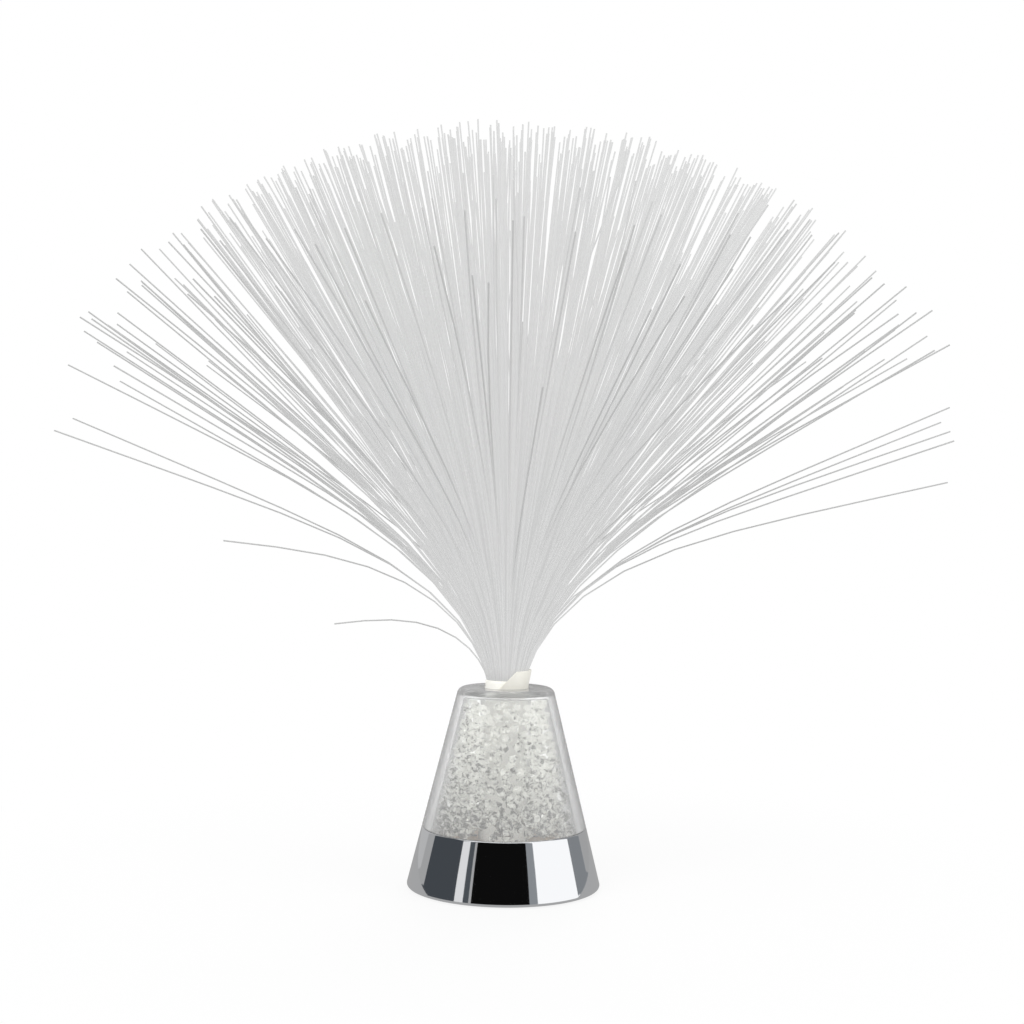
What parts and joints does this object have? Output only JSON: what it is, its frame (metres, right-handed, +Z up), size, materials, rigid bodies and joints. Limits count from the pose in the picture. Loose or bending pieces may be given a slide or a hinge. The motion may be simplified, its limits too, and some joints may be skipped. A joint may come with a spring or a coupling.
{
  "type": "fiber optic lamp",
  "caption": "Table lamp with a drooping spray of light-carrying fibres that rises from a clear cone cup of crushed crystals on a chromed base with a switch and a battery bay below.",
  "frame": {"origin": "centre of the lamp's extent in X and Y, on the table under its foot pads", "axes": "+Z up along the lamp's axis; +Y from the switch's off end to its on end; -Y faces the camera of the picture"},
  "size_m": [0.3655, 0.3667, 0.3126],
  "materials": {
    "ring_chrome": "polished",
    "cover_plastic": "satin",
    "screw_steel": "satin",
    "pad_rubber": "matte",
    "door_plastic": "satin",
    "cell_wrap": "gloss",
    "contact_metal": "satin",
    "switch_metal": "satin",
    "knob_plastic": "satin",
    "clear_plastic": "gloss",
    "crystal": "gloss",
    "board_phenolic": "satin",
    "led_lens": "gloss",
    "chip_black": "satin",
    "lead_red": "satin",
    "lead_black": "satin",
    "bundle_resin": "gloss",
    "sleeve_white": "satin",
    "fibre": "gloss"
  },
  "bodies": {
    "base": {"base_ring": "ring_chrome", "bottom_cover": "cover_plastic", "cover_screws": "screw_steel", "foot_pads": "pad_rubber", "battery_cells": "cell_wrap", "contact_plates": "contact_metal", "contact_springs": "contact_metal", "switch_body": "switch_metal", "switch_terminals": "switch_metal", "crystal_cup": "clear_plastic", "crystal_chips_lower": "crystal", "crystal_chips_upper": "crystal", "light_board": "board_phenolic", "bundle_led": "led_lens", "crystal_leds": "led_lens", "board_resistors": "chip_black", "colour_controller": "chip_black", "battery_leads": "lead_red", "switch_leads": "lead_black"},
    "switch_slider": {"switch_knob": "knob_plastic"},
    "battery_door": {"battery_door": "door_plastic"},
    "fibre_spray": {"potted_bundle": "bundle_resin", "bundle_sleeve": "sleeve_white", "fibre_tier_01": "fibre", "fibre_tier_02": "fibre", "fibre_tier_03": "fibre", "fibre_tier_04": "fibre", "fibre_tier_05": "fibre", "fibre_tier_06": "fibre", "fibre_tier_07": "fibre", "fibre_tier_08": "fibre"}
  },
  "joints": [
    {"name": "spray_lift", "type": "slide", "parent": "base", "child": "fibre_spray", "axis": [0, 0, 1], "range_m": [0, 0.057]},
    {"name": "switch_slide", "type": "slide", "parent": "base", "child": "switch_slider", "axis": [0, 1, 0], "range_m": [0, 0.003]},
    {"name": "door_hinge", "type": "hinge", "parent": "base", "child": "battery_door", "pos_m": [0, 0.025, 0.0026], "axis": [1, 0, 0], "range_deg": [0, 90]}
  ]
}
